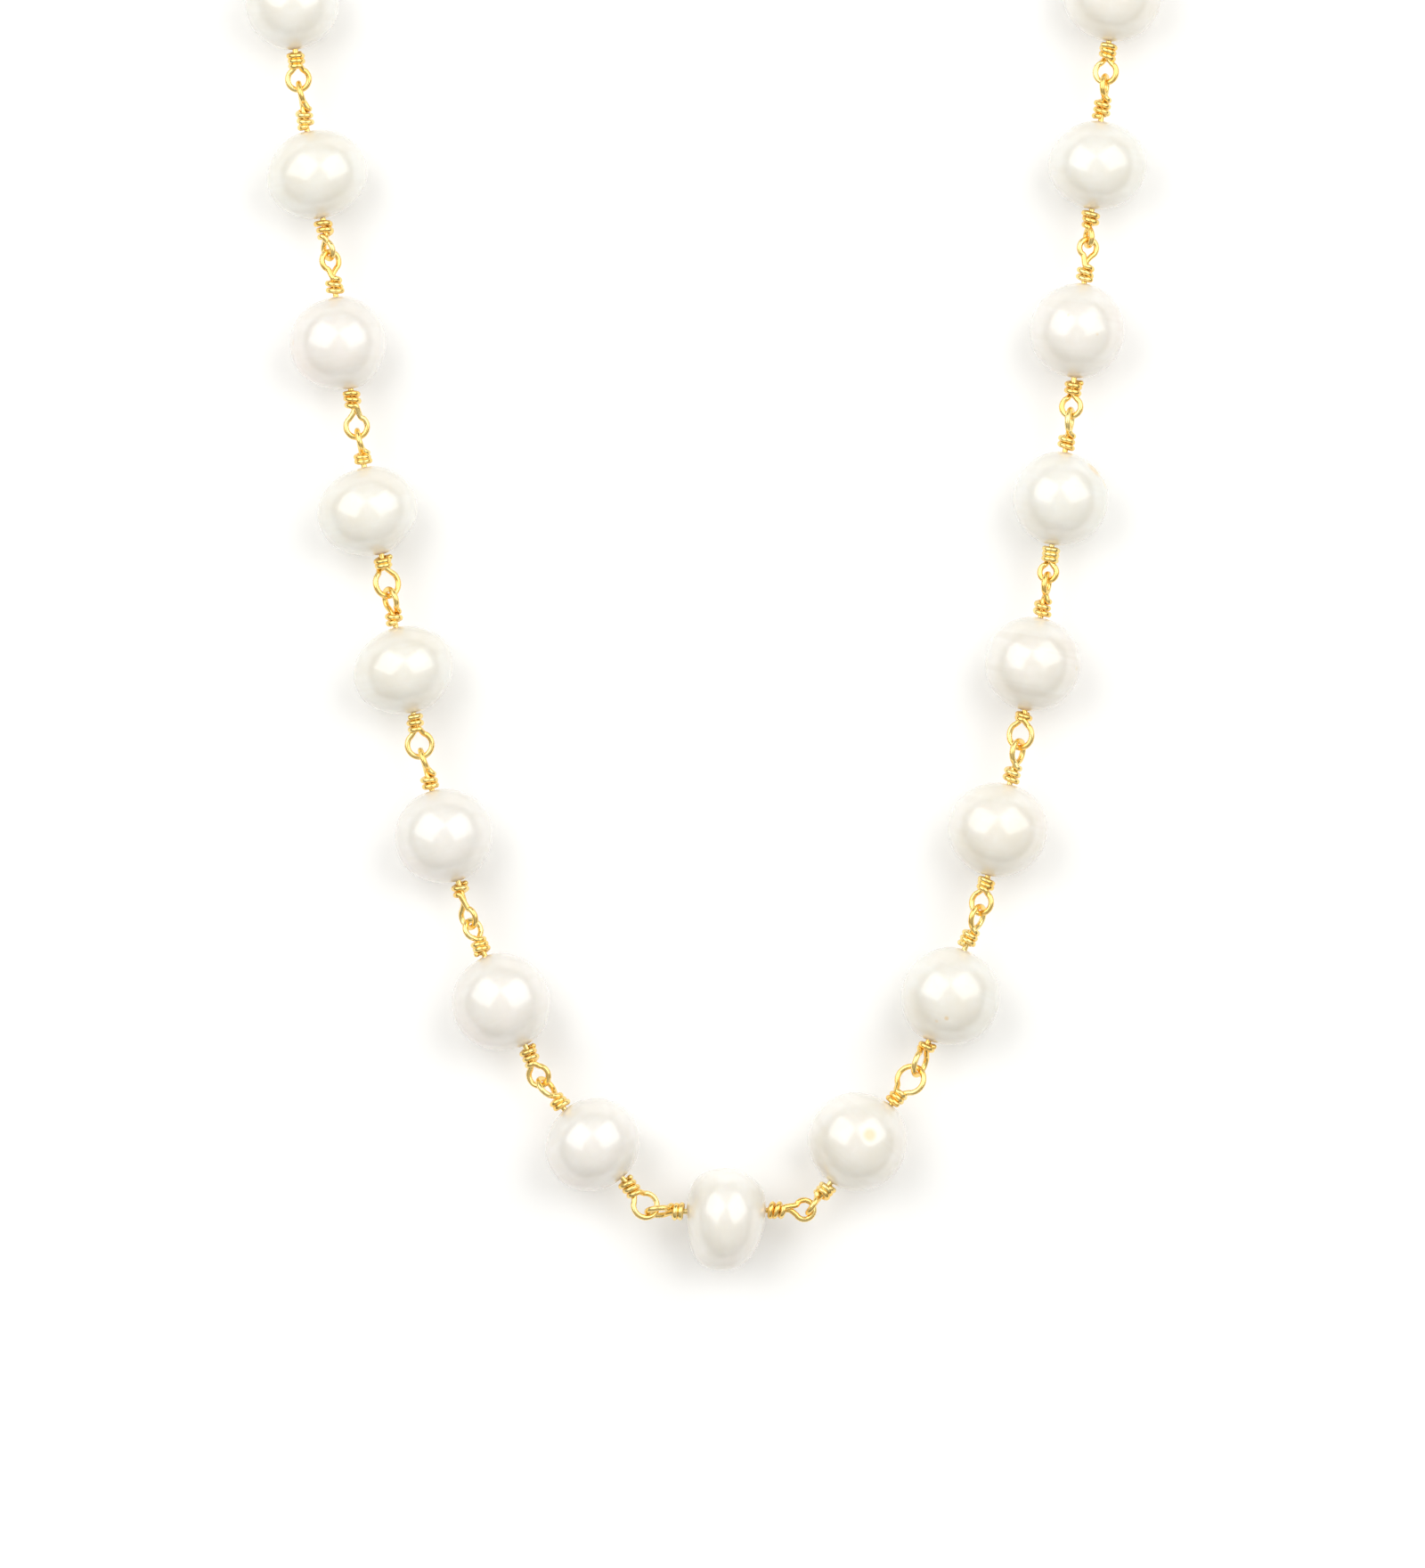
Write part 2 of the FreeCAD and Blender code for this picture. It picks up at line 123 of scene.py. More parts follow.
INNER_SLACK = 0.02 * MM  # how far the wraps may run past their place next to the pearl
OUTER_SLACK = 0.1 * MM  # and past the loop's neck
CUT_START = 0.7  # where the cut end starts to stand off, as a share of the wraps
CAP_RINGS = 3
CAP_LENGTH = 0.9  # of a rounded wire end, in wire radii
CAP_TIP = 0.02  # the narrowest ring of a rounded wire end, in wire radii

# Colours
HORIZON = (0.17, 0.165, 0.14, 1)
ZENITH = (0.56, 0.56, 0.55, 1)
PINK_BLUSH = (0.86, 0.75, 0.70, 1)
GREEN_BLUSH = (0.76, 0.79, 0.72, 1)
BAND_TAN = (0.72, 0.66, 0.56, 1)
HOLE_STAIN = (0.86, 0.68, 0.38, 1)
MARK_TAN = (0.80, 0.62, 0.36, 1)
DEEP_GOLD = (1.0, 0.66, 0.19, 1)
LIGHT_GOLD = (1.0, 0.78, 0.33, 1)
BOARD_DARK = (0.955, 0.955, 0.95, 1)
BOARD_LIGHT = (0.97, 0.97, 0.965, 1)
WHITE_LIGHT = (1, 1, 1)
WARM_LIGHT = (1.0, 0.94, 0.85)

# Studio
FLOOR_HALF_SIZE = 1.2
SOFTBOX_PLACE = (0.36, 0.22, 0.44)  # from the middle of the view: to either side, beyond it and up
SOFTBOX_AIM = 0.02  # each softbox points this far to its own side of the middle
SOFTBOX_SIZE = (0.58, 0.62)
SOFTBOX_WATTS = 2.2
FILL_PLACE = (-0.55, 0.50)  # from the middle of the view: towards its lower edge and up
FILL_SIZE = (0.5, 0.2)
FILL_WATTS = 0.7
VIEW_WIDTH = 135.6 * MM
VIEW_ASPECT = 1760 / 1600
VIEW_OFFSET = Vector((-1.7 * MM, 40.6 * MM, 0))  # from the centre pearl to the middle of the view
CAMERA_HEIGHT = 1.6
SENSOR_HEIGHT = 24  # in millimetres, as the camera has it

# How each pearl differs from a smooth oval: swellings (+) and flats or dents (-), each with a direction
# as seen from above (right, up, towards the viewer), a height as a share of the radius and a spread in
# degrees. Pearls that aren't listed only have the gentle unevenness that all of them have.
SHAPES = {
    7: [((-0.8, -0.45, 0), 0.05, 34), ((0.6, 0.6, 0), 0.02, 40), ((0.5, -0.8, 0), -0.03, 30)],
    8: [((0.22, -1, 0), 0.045, 20), ((-1, 0.1, 0.3), -0.012, 12), ((-0.5, 0.8, 0), 0.01, 30)],
    9: [((0.65, -0.75, 0), -0.05, 30), ((0.75, 0.4, 0), 0.03, 32), ((-0.7, 0.6, 0), -0.015, 25)],
    10: [((0.75, 0.55, 0), 0.055, 30), ((-0.8, -0.5, 0), 0.05, 32), ((-0.5, 0.8, 0), -0.035, 30)],
    11: [((0.7, 0.5, 0), 0.02, 30), ((-0.6, 0.8, 0), 0.02, 25), ((0.1, -1, 0), -0.01, 30)],
    12: [((0.2, 0.9, 0.2), -0.012, 20), ((0.8, -0.3, 0.4), 0.012, 30)],
    13: [((0.8, 0.2, 0), 0.025, 34), ((-0.3, -0.9, 0), 0.02, 30), ((-0.6, 0.7, 0), -0.02, 30)],
    14: [((-1, 0.1, 0), -0.05, 26), ((-0.65, -0.75, 0), 0.10, 28), ((-0.7, 0.7, 0), 0.07, 26),
         ((0.85, 0.4, 0), 0.05, 30), ((0.8, -0.65, 0), -0.03, 22)],
    15: [((0.6, 0.8, 0), 0.02, 16), ((0.25, 0.16, 0.95), -0.02, 9), ((-0.7, -0.4, 0), 0.015, 40)],
    16: [((-0.1, -0.45, 0.9), -0.008, 7), ((0.7, 0.3, 0), 0.012, 40)],
    17: [((-0.3, -1, 0), 0.03, 20), ((0.6, 0.5, 0), 0.015, 35), ((0.6, -0.75, 0), -0.015, 30)],
    18: [((0.9, 0.3, 0.3), 0.012, 30), ((-0.5, 0.8, 0), 0.01, 26)],
    19: [((0.75, 0.65, 0.2), -0.02, 16), ((-0.8, 0, 0), 0.012, 30)],
    20: [((0.05, 1, 0), 0.035, 18), ((-0.6, -0.6, 0), 0.01, 34), ((0.5, 0.2, 0.8), -0.008, 8)],
    21: [((-1, -0.05, 0), 0.05, 32), ((0.8, 0.3, 0), 0.02, 36), ((0.1, -1, 0), -0.02, 26)],
    22: [((0.7, -0.6, 0), 0.015, 34), ((-0.7, 0.4, 0), 0.015, 30)],
}

# Each pearl's own cast: how pink (+) or green (-), how warm, and how strong its growth rings are.
CASTS = {
    6: (0.0, 0.45, 0.1), 7: (-0.3, 0.5, 0.1), 8: (0.9, 0.35, 0.2), 9: (-0.1, 0.5, 0.1),
    10: (-0.1, 0.55, 0.2), 11: (0.2, 0.1, 0.1), 12: (0.5, 0.25, 0.1), 13: (0.4, 0.15, 0.1),
    14: (0.1, 0.4, 0.1), 15: (0.1, 0.5, 0.2), 16: (0.0, 0.5, 0.1), 17: (0.2, 0.8, 0.2),
    18: (0.3, 0.55, 0.9), 19: (-0.5, 0.2, 0.1), 20: (0.4, 0.35, 0.3), 21: (-0.3, 0.35, 0.1),
    22: (0.2, 0.65, 0.1),
}

PLAIN_CAST = (0.1, 0.4, 0.2)

# Tan marks where the nacre is thin: direction as above, spread in degrees and strength.
MARKS = {
    15: [((0.25, 0.16, 0.95), 11, 0.9)],
    16: [((-0.1, -0.45, 0.88), 4, 0.8), ((-0.3, -0.5, 0.8), 3, 0.4)],
    19: [((0.72, 0.62, 0.3), 15, 1.0), ((0.9, 0.3, 0.2), 9, 0.6)],
    8: [((-0.95, 0.0, 0.35), 5, 0.35)],
    20: [((-0.2, 0.3, 0.93), 3, 0.4), ((0.4, -0.1, 0.9), 2.5, 0.4)],
    18: [((0.9, -0.1, 0.4), 4, 0.4)],
}

# How the wraps beside each loop were finished, at the link's first end and at its second: the number of
# turns, and how far the cut end stands off the core, in wire thicknesses.
WRAPS = {
    6: ((2.6, 0.10), (2.7, 0.34)), 7: ((2.9, 0.16), (2.3, 0.30)),
    8: ((2.2, 0.30), (2.3, 0.15)), 9: ((2.1, 0.1), (2.8, 0.34)),
    10: ((1.8, 0.2), (2.2, 0.22)), 11: ((2.0, 0.12), (1.7, 0.1)),
    12: ((2.9, 0.16), (2.8, 0.2)), 13: ((2.3, 0.3), (2.9, 0.16)),
    14: ((2.2, 0.12), (2.3, 0.12)), 15: ((2.9, 0.14), (2.3, 0.26)),
    16: ((2.4, 0.2), (2.9, 0.16)), 17: ((2.9, 0.1), (2.3, 0.1)),
    18: ((2.3, 0.24), (2.2, 0.3)), 19: ((2.9, 0.12), (2.3, 0.1)),
    20: ((2.3, 0.28), (2.2, 0.26)), 21: ((2.2, 0.26), (2.9, 0.26)),
    22: ((2.7, 0.3), (2.4, 0.15)),
}
PLAIN_WRAPS = ((2.6, 0.15), (2.4, 0.2))


# ---------------------------------------------------------------- reading the frame

class Link:
    """One wire link as the CAD frame holds it: its middle, its direction and what it carries."""

    def __init__(self, frame, number):
        self.number = number
        spin = joint_named(frame, f"spin_{number:02d}")
        self.centre = Vector(spin["pos_m"])
        self.direction = Vector(spin["axis"]).normalized()
        self.side = UP.cross(self.direction)
        self.matrix = Matrix((self.direction, self.side, UP)).transposed().to_4x4()
        self.matrix.translation = self.centre
        wire = self.local(frame["nodes"][f"link_wire_{number:02d}"])
        self.pearl = self.local(frame["nodes"][f"pearl_{number:02d}"])
        self.reach = (-wire[:, 0].min() - WIRE_RADIUS, wire[:, 0].max() - WIRE_RADIUS)
        self.low, self.high = self.pearl.min(0), self.pearl.max(0)
        self.loops = [self.loop_across(wire, end) for end in (0, 1)]
        self.widths = [self.loop_width(wire, end) for end in (0, 1)]

    def local(self, node):
        """The node's vertices in this link's own frame: along it, across it and up."""
        points = np.array([v.co for v in node.data.vertices])
        back = np.array(self.matrix.inverted())
        return points @ back[:3, :3].T + back[:3, 3]

    def loop_points(self, wire, end):
        """The CAD wire's vertices at this end's loop, beyond its wraps."""
        sign = 1 if end else -1
        return wire[wire[:, 0] * sign > self.reach[end] - LOOP_ZONE]

    def loop_across(self, wire, end):
        """The direction across this end's loop, which is the way that the CAD loop spreads most."""
        section = self.loop_points(wire, end)[:, 1:]
        _, ways = np.linalg.eigh(section.T @ section)
        across = Vector((0, *ways[:, 1]))
        return across if across.y + 2 * across.z > 0 else -across

    def loop_width(self, wire, end):
        """The loop's outer width, measured on the CAD solid."""
        spread = self.loop_points(wire, end) @ np.array(self.loops[end])
        return spread.max() - spread.min()


def joint_named(frame, name):
    """The frame's joint of that name."""
    return next(j for j in frame["joints"] if j["name"] == name)


# ---------------------------------------------------------------- materials

def new_material(name):
    """A material with its node tree and its shader."""
    material = bpy.data.materials.new(name)
    material.use_nodes = True
    tree = material.node_tree
    return material, tree, tree.nodes["Principled BSDF"]


def mix_colour(tree, factor, first, second):
    """A mix of two colours, each a value or another node's output."""
    mix = tree.nodes.new("ShaderNodeMix")
    mix.data_type = "RGBA"
    for socket, value in ((mix.inputs[0], factor), (mix.inputs[6], first), (mix.inputs[7], second)):
        if isinstance(value, bpy.types.NodeSocket):
            tree.links.new(value, socket)
        else:
            socket.default_value = value
    return mix.outputs[2]


def ramp(tree, value, low, high, low_level=0.0, high_level=1.0):
    """A value mapped smoothly from one range to another."""
    node = tree.nodes.new("ShaderNodeMapRange")
    node.interpolation_type = "SMOOTHSTEP"
    tree.links.new(value, node.inputs["Value"])
    for name, level in (("From Min", low), ("From Max", high), ("To Min", low_level), ("To Max", high_level)):
        node.inputs[name].default_value = level
    return node.outputs["Result"]


def noise_texture(tree, coordinates, scale, detail, stretch=None):
    """Cloudy noise, from 0 to 1."""
    if stretch:
        mapping = tree.nodes.new("ShaderNodeMapping")
        mapping.inputs["Scale"].default_value = stretch
        tree.links.new(coordinates, mapping.inputs["Vector"])
        coordinates = mapping.outputs["Vector"]
    texture = tree.nodes.new("ShaderNodeTexNoise")
    texture.inputs["Scale"].default_value = scale
    texture.inputs["Detail"].default_value = detail
    tree.links.new(coordinates, texture.inputs["Vector"])
    return texture.outputs["Fac"]


def bump(tree, shader, height, distance, strength):
    """Fine relief on the shader from a height."""
    node = tree.nodes.new("ShaderNodeBump")
    node.inputs["Distance"].default_value = distance
    node.inputs["Strength"].default_value = strength
    tree.links.new(height, node.inputs["Height"])
    tree.links.new(node.outputs["Normal"], shader.inputs["Normal"])


def distance_to(tree, coordinates, point):
    """How far a place is from a point."""
    node = tree.nodes.new("ShaderNodeVectorMath")
    node.operation = "DISTANCE"
    node.inputs[1].default_value = point
    tree.links.new(coordinates, node.inputs[0])
    return node.outputs["Value"]


def link_coordinates(tree, link):
    """Places in the link's own frame: along its wire, across it and up."""
    mapping = tree.nodes.new("ShaderNodeMapping")
    mapping.vector_type = "TEXTURE"
    mapping.inputs["Location"].default_value = link.centre
    mapping.inputs["Rotation"].default_value = link.matrix.to_euler()
    tree.links.new(tree.nodes.new("ShaderNodeTexCoord").outputs["Object"], mapping.inputs["Vector"])
    return mapping.outputs["Vector"]


def pearl_material(link):
    """Nacre: a warm white body that clouds and shades from pearl to pearl, under a soft clear lustre."""
    pink, warm, rings = CASTS.get(link.number, PLAIN_CAST)
    material, tree, shader = new_material(f"nacre_{link.number:02d}")
    where = link_coordinates(tree, link)
    body = (0.80, 0.775 - 0.02 * warm - 0.006 * pink, 0.72 - 0.08 * warm + 0.02 * pink, 1)
    pale = (0.86, 0.845, 0.81 - 0.03 * warm, 1)
    clouds = noise_texture(tree, where, 260, 4.0)
    colour = mix_colour(tree, ramp(tree, clouds, 0.35, 0.7), body, pale)
    blush = PINK_BLUSH if pink > 0 else GREEN_BLUSH
    drifts = noise_texture(tree, where, 120, 2.0)
    colour = mix_colour(tree, ramp(tree, drifts, 0.42, 0.68, 0.0, 0.22 + 0.3 * abs(pink)), colour, blush)
    bands = noise_texture(tree, where, 90, 2.0, stretch=(9.0, 0.6, 0.6))
    banding = ramp(tree, bands, 0.5, 0.62, 0.0, 0.12 + 0.25 * rings)
    colour = mix_colour(tree, banding, colour, BAND_TAN)
    for rim in (link.low[0], link.high[0]):
        from_hole = distance_to(tree, where, (rim, 0, 0))
        stain = ramp(tree, from_hole, STAIN_START, STAIN_END, STAIN_STRENGTH, 0.0)
        colour = mix_colour(tree, stain, colour, HOLE_STAIN)
    for direction, spread, strength in MARKS.get(link.number, ()):
        point = mark_point(link, direction)
        size = math.radians(spread) * MARK_RADIUS
        spot = ramp(tree, distance_to(tree, where, point), MARK_CORE * size, size, strength, 0.0)
        colour = mix_colour(tree, spot, colour, MARK_TAN)
    tree.links.new(colour, shader.inputs["Base Color"])
    grain = noise_texture(tree, where, 1500, 3.0)
    tree.links.new(ramp(tree, clouds, 0.3, 0.75, 0.16, 0.27), shader.inputs["Roughness"])
    bump(tree, shader, mix_height(tree, grain, bands, 0.35 + 0.5 * rings), 0.02 * MM, 0.35)
    shader.inputs["Subsurface Weight"].default_value = 0.15
    shader.inputs["Subsurface Radius"].default_value = (1.0, 0.8, 0.55)
    shader.inputs["Subsurface Scale"].default_value = 0.8 * MM
    shader.inputs["IOR"].default_value = 1.65
    shader.inputs["Coat Weight"].default_value = 0.9
    shader.inputs["Coat Roughness"].default_value = 0.2
    return material


def mix_height(tree, first, second, share):
    """A mix of two heights, with the share that the second has."""
    node = tree.nodes.new("ShaderNodeMix")
    node.inputs[0].default_value = share
    tree.links.new(first, node.inputs[2])
    tree.links.new(second, node.inputs[3])
    return node.outputs[0]


def gold_material(name, roughness, scale):
    """Polished yellow gold, with the faint handling marks and tool lines of bent wire."""
    material, tree, shader = new_material(name)
    where = tree.nodes.new("ShaderNodeTexCoord").outputs["Object"]
    patches = noise_texture(tree, where, 0.35 * scale, 3.0)
    colour = mix_colour(tree, ramp(tree, patches, 0.35, 0.7), DEEP_GOLD, LIGHT_GOLD)
    tree.links.new(colour, shader.inputs["Base Color"])
    marks = noise_texture(tree, where, scale, 5.0)
    tree.links.new(ramp(tree, marks, 0.3, 0.75, roughness, roughness + 0.14), shader.inputs["Roughness"])
    bump(tree, shader, marks, 0.03 * MM, 0.30)
    shader.inputs["Metallic"].default_value = 1.0
    return material


def floor_material():
    """A plain pale matt board with the slightest mottling."""
    material, tree, shader = new_material("pale_board")
    where = tree.nodes.new("ShaderNodeTexCoord").outputs["Object"]
    fibres = noise_texture(tree, where, 40, 3.0)
    colour = mix_colour(tree, ramp(tree, fibres, 0.3, 0.7), BOARD_DARK, BOARD_LIGHT)
    tree.links.new(colour, shader.inputs["Base Color"])
    shader.inputs["Roughness"].default_value = 0.9
    shader.inputs["Specular IOR Level"].default_value = 0.1
    return material


# ---------------------------------------------------------------- mesh helpers

def mesh_object(name, points, faces, material, matrix=Matrix()):
    """A smooth mesh from points in the matrix's frame, stored in the scene's own frame."""
    mesh = bpy.data.meshes.new(name)
    mesh.from_pydata([tuple(p) for p in points], [], faces)
    mesh.transform(matrix)
    mesh.validate()
    mesh.polygons.foreach_set("use_smooth", [True] * len(mesh.polygons))
    mesh.materials.append(material)
    piece = bpy.data.objects.new(name, mesh)
    bpy.context.scene.collection.objects.link(piece)
    return piece


def grid_faces(rows, sides):
    """Quads between successive closed rings of points."""
    return [
        (r * sides + s, r * sides + (s + 1) % sides, (r + 1) * sides + (s + 1) % sides, (r + 1) * sides + s)
        for r in range(rows - 1) for s in range(sides)
    ]


def smooth_path(points, step):
    """A Catmull-Rom curve through the points, resampled at even steps."""
    p = np.array([tuple(q) for q in points])
    padded = np.vstack((2 * p[0] - p[1], p, 2 * p[-1] - p[-2]))
    curve = []
    for a, b, c, d in zip(padded, padded[1:], padded[2:], padded[3:]):
        for t in np.linspace(0, 1, CURVE_STEPS, endpoint=False):
            curve.append(0.5 * (2 * b + (c - a) * t + (2 * a - 5 * b + 4 * c - d) * t**2
                                + (3 * b - a - 3 * c + d) * t**3))
    curve = np.array(curve + [p[-1]])
    lengths = np.r_[0, np.cumsum(np.linalg.norm(np.diff(curve, axis=0), axis=1))]
    even = np.linspace(0, lengths[-1], int(lengths[-1] / step) + 1)
    return np.column_stack([np.interp(even, lengths, curve[:, k]) for k in range(3)])


def tube(path, radii, sides):
    """Rings of points round a path, with frames carried along it so that the tube doesn't twist."""
    tangents = np.gradient(path, axis=0)
    tangents /= np.linalg.norm(tangents, axis=1)[:, None]
    normal = np.cross(tangents[0], (0.3, 0.5, 0.8))
    angles = np.linspace(0, 2 * math.pi, sides, endpoint=False)
    rings = []
    for k in range(len(path)):
        normal = normal - tangents[k] * (normal @ tangents[k])
        normal /= np.linalg.norm(normal)
        binormal = np.cross(tangents[k], normal)
        rings.append(path[k] + radii[k] * (
            np.outer(np.cos(angles), normal) + np.outer(np.sin(angles), binormal)))
    return np.vstack(rings)


def capped_tube(path, radius, sides, uneven, seed):
    """A wire along the path with rounded cut ends and slightly uneven thickness."""
    radii = np.array([
        radius * (1 + uneven * noise.noise(Vector((k * 0.13, seed * 7.1, 0.5)))) for k in range(len(path))
    ])
    start = [path[0] + (path[0] - path[1]) * CAP_LENGTH * radius / TUBE_STEP * math.sin(a)
             for a in np.linspace(math.pi / 2, 0, CAP_RINGS, endpoint=False)]
    stop = [path[-1] + (path[-1] - path[-2]) * CAP_LENGTH * radius / TUBE_STEP * math.sin(a)
            for a in np.linspace(0, math.pi / 2, CAP_RINGS + 1)[1:]]
    cap = np.maximum(np.cos(np.linspace(math.pi / 2, 0, CAP_RINGS, endpoint=False)), CAP_TIP)
    path = np.vstack((start, path, stop))
    radii = np.r_[cap * radii[0], radii, cap[::-1] * radii[-1]]
    points = tube(path, radii, sides)
    faces = grid_faces(len(path), sides)
    faces.append(tuple(range(sides))[::-1])
    faces.append(tuple(range(len(points) - sides, len(points))))
    return points, faces


# ---------------------------------------------------------------- pearls

def gentle(direction, number):
    """The slight unevenness of every pearl, as a share of its radius."""
    seed = Vector((number * 3.7, number * 1.9, 0))
    return 0.009 * noise.noise(direction * 1.6 + seed) + 0.003 * noise.noise(direction * 4.0 + seed)


def swelling(direction, lumps):
    """How far the lumps raise the surface in a direction, as a share of the pearl's radius."""
    total = 0.0
    for towards, height, spread in lumps:
        angle = direction.angle(Vector(towards).normalized(), 0.0)
        total += height * math.exp(-((angle / math.radians(spread)) ** 2))
    return total


def mark_point(link, direction):
    """Where a direction from the pearl's middle meets its surface, in the link's own frame."""
    local = link.matrix.to_3x3().inverted() @ Vector(direction).normalized()
    middle, half = (link.low + link.high) / 2, (link.high - link.low) / 2
    scale = 1 / math.sqrt(sum((local[k] / half[k]) ** 2 for k in range(3)))
    return Vector(middle) + local * scale


def nacre_points(link):
    """The pearl's surface as rings round its hole's axis, swollen and flattened, in the link's frame."""
    lumps = SHAPES.get(link.number, [])
    rings_strength = CASTS.get(link.number, PLAIN_CAST)[2]
    middle, half = (link.low + link.high) / 2, (link.high - link.low) / 2
    turn = link.matrix.to_3x3()
    rim = math.asin(HOLE_RADIUS / half[1])
    points = []
    for polar in np.linspace(rim, math.pi - rim, PEARL_RINGS):
        along, out = math.cos(polar), math.sin(polar)
        off_axis = 1 - abs(along) ** SHIFT_POWER
        near_hole = min(1.0, (out / math.sin(rim) - 1) / HOLE_CALM)
        for angle in np.linspace(0, 2 * math.pi, PEARL_SIDES, endpoint=False):
            local = Vector((along, out * math.cos(angle), out * math.sin(angle)))
            seen = turn @ local
            grow = swelling(seen, lumps) * (HOLE_SHARE + (1 - HOLE_SHARE) * near_hole)
            grow += gentle(seen, link.number) * near_hole
            grow += RING_HEIGHT * rings_strength * math.sin(along * RING_FREQUENCY) * out
            radial = 1 + grow if near_hole > 0 else 1.0
            points.append((
                middle[0] + half[0] * local.x * (1 + grow),
                middle[1] * off_axis + half[1] * local.y * radial,
                half[2] * FLATNESS * local.z * radial,
            ))
    return np.array(points)


def fit_to_cad(points, link):
    """Stretches the surface to the CAD pearl's length and width, and keeps it inside its world box."""
    away = np.clip((np.hypot(points[:, 1], points[:, 2]) - HOLE_RADIUS) / HOLE_FADE, 0, 1)
    for axis, share in ((0, 1), (1, away)):
        low, high = points[:, axis].min(), points[:, axis].max()
        stretched = np.interp(points[:, axis], (low, high), (link.low[axis], link.high[axis]))
        points[:, axis] += (stretched - points[:, axis]) * share
    turn = np.array(link.matrix.to_3x3())
    placed, cad = points @ turn.T, link.pearl @ turn.T
    for axis in range(3):
        for sign in (-1, 1):
            over = (placed[:, axis] * sign).max() / (cad[:, axis] * sign).max()
            beyond = placed[:, axis] * sign > 0
            placed[beyond, axis] /= max(1.0, over * BOX_MARGIN)
    return placed @ turn


def hole_rings(rim_ring, inwards):
    """Rings that round the drilled rim over and run down into the hole, innermost last."""
    level = rim_ring[:, 0].mean()
    rings = []
    for depth, narrow in RIM_STEPS:
        ring = rim_ring * (1, narrow, narrow)
        ring[:, 0] = level + inwards * depth * MM
        rings.append(ring)
    return rings


def make_pearl(link):
    """The link's pearl, drilled, in place of the CAD one."""
    points = fit_to_cad(nacre_points(link), link)
    rows = points.reshape(PEARL_RINGS, PEARL_SIDES, 3)
    stack = [*hole_rings(rows[0], -1)[::-1], *rows, *hole_rings(rows[-1], 1)]
    name = f"pearl_{link.number:02d}"
    faces = grid_faces(len(stack), PEARL_SIDES)
    piece = mesh_object(f"{name}_body", np.vstack(stack), faces, pearl_material(link), link.matrix)
    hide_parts(name)
    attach(piece, name)


# ---------------------------------------------------------------- link wires

def end_path(reach, pearl_edge, width, wraps, rng):
    """One end of a wire, from the pearl outwards, round its loop and back in wraps on its own core.

    X runs outwards along the link, Y across the loop and Z out of the loop's plane.
    """
    radius = (width - WIRE_DIA) / 2
    centre = reach - radius
    neck = centre - radius * NECK
    path = [Vector((x, 0, 0)) for x in np.linspace(CORE_START, neck - CORE_END, CORE_POINTS)]
    lean = rng.uniform(0, 2 * math.pi)
    for angle in np.linspace(-LOOP_OPENING, LOOP_OPENING, LOOP_POINTS):
        late = max(0.0, (angle / LOOP_OPENING - LIFT_START) / (1 - LIFT_START))
        lift = LIFT * WIRE_DIA * late**2
        bent = radius * (1 + BEND * math.sin(2 * angle + lean))
        path.append(Vector((centre + radius * math.cos(angle), bent * math.sin(angle), lift)))
    return path + wrap_path(neck, pearl_edge + PEARL_GAP + WIRE_RADIUS, wraps, rng)


def wrap_path(neck, first, wraps, rng):
    """Close turns round the core, from the loop's neck back towards the pearl, and the cut end."""
    turns, stand_off = wraps
    turns = min(turns, EXTRA_TURNS + (neck - first) / WIRE_DIA)
    pitch = min((neck - first) / max(turns - LAST_TURN, 1), WIRE_DIA * WRAP_PITCH)
    start = first + pitch * (turns - LAST_TURN)
    slant = rng.uniform(-WRAP_SLANT, WRAP_SLANT)
    steps = int(turns * TURN_STEPS)
    path = []
    for k in range(steps + 1):
        angle = math.radians(WRAP_START + 360 * k / TURN_STEPS)
        away = start - pitch * k / TURN_STEPS + slant * math.cos(angle)
        late = max(0.0, (k / steps - CUT_START) / (1 - CUT_START))
        out = WIRE_DIA * (WRAP_REACH + stand_off * late**2)
        away = min(max(away, first - INNER_SLACK), neck + OUTER_SLACK)
        path.append(Vector((away, out * math.cos(angle), out * math.sin(angle))))
    return path


def place_end(link, end, path):
    """The path in the link's own frame, with its loop turned to lie as the CAD one does."""
    outward = Vector((1 if end else -1, 0, 0))
    across = link.loops[end]
    turn = Matrix((outward, across, outward.cross(across))).transposed()
    return [turn @ p for p in path]


def make_wire(link, gold):
    """One continuous wire: wraps, loop, core through the pearl, loop and wraps."""
    rng = random.Random(link.number)
    wraps = WRAPS.get(link.number, PLAIN_WRAPS)
    ends = []
    for end in (0, 1):
        edge = link.high[0] if end else -link.low[0]
        path = end_path(link.reach[end], edge, link.widths[end], wraps[end], rng)
        ends.append(place_end(link, end, path))
    whole = smooth_path(ends[0][::-1] + ends[1], TUBE_STEP)
    points, faces = capped_tube(whole, WIRE_SHARE * WIRE_RADIUS, TUBE_SIDES, WIRE_UNEVENNESS, link.number)
    piece = mesh_object(f"link_wire_{link.number:02d}_wound", points, faces, gold, link.matrix)
    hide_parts(f"link_wire_{link.number:02d}")
    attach(piece, f"link_{link.number:02d}")


# ---------------------------------------------------------------- clasp

def repaint(frame, node, material):
    """The CAD node in this material alone."""
    piece = frame["nodes"][node]
    piece.data.materials.clear()
    piece.data.materials.append(material)


def repaint_clasp(frame):
    """Polished gold on the rings, the claw and its lever, and a duller one on the pin and the spring."""
    gold = gold_material("clasp_gold", 0.14, 900)
    dull_gold = gold_material("clasp_pin_metal", 0.26, 1400)
    for node in ("clasp_ring", "end_ring", "clasp_body", "clasp_lever"):
        repaint(frame, node, gold)
    for node in ("clasp_pin", "clasp_spring"):
        repaint(frame, node, dull_gold)


# ---------------------------------------------------------------- studio

